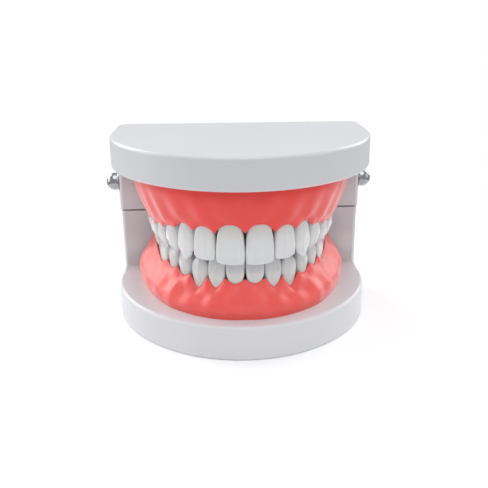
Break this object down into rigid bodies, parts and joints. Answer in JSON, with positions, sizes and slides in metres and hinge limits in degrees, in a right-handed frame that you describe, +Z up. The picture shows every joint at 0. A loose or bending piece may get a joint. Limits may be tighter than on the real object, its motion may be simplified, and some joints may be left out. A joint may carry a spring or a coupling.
{
  "type": "typodont model",
  "caption": "Hinged dental teaching model: white D-shaped bases, pink gums with separate set-in teeth, opening on a rear hinge rod with domed caps.",
  "frame": {"origin": "centre of the footprint, on the table", "axes": "+Z up, the teeth face -Y, the hinge is at +Y, the patient's left is +X"},
  "size_m": [0.089, 0.061, 0.0572],
  "materials": {
    "white_shell": "moulded satin gloss, white",
    "pink_gum": "glossy coral pink with soft root ridges",
    "tooth_enamel": "polished cool white, faintly ridged",
    "bright_steel": "bright plated",
    "screw_steel": "zinc plated"
  },
  "bodies": {
    "lower_model": {"lower_base": "white_shell", "lower_gum": "pink_gum", "lower_gum_screws": "screw_steel", "lower_left_central_incisor": "tooth_enamel", "lower_left_lateral_incisor": "tooth_enamel", "lower_left_canine": "tooth_enamel", "lower_left_first_premolar": "tooth_enamel", "lower_left_second_premolar": "tooth_enamel", "lower_left_first_molar": "tooth_enamel", "lower_left_second_molar": "tooth_enamel", "lower_right_central_incisor": "tooth_enamel", "lower_right_lateral_incisor": "tooth_enamel", "lower_right_canine": "tooth_enamel", "lower_right_first_premolar": "tooth_enamel", "lower_right_second_premolar": "tooth_enamel", "lower_right_first_molar": "tooth_enamel", "lower_right_second_molar": "tooth_enamel"},
    "upper_model": {"upper_base": "white_shell", "upper_gum": "pink_gum", "upper_gum_screws": "screw_steel", "hinge_rod": "bright_steel", "dome_caps": "bright_steel", "lock_rings": "bright_steel", "upper_left_central_incisor": "tooth_enamel", "upper_left_lateral_incisor": "tooth_enamel", "upper_left_canine": "tooth_enamel", "upper_left_first_premolar": "tooth_enamel", "upper_left_second_premolar": "tooth_enamel", "upper_left_first_molar": "tooth_enamel", "upper_left_second_molar": "tooth_enamel", "upper_right_central_incisor": "tooth_enamel", "upper_right_lateral_incisor": "tooth_enamel", "upper_right_canine": "tooth_enamel", "upper_right_first_premolar": "tooth_enamel", "upper_right_second_premolar": "tooth_enamel", "upper_right_first_molar": "tooth_enamel", "upper_right_second_molar": "tooth_enamel"}
  },
  "joints": [
    {"name": "jaw_hinge", "type": "hinge", "parent": "lower_model", "child": "upper_model", "pos_m": [0, 0.0256, 0.0387], "axis": [-1, 0, 0], "range_deg": [0, 120]}
  ]
}
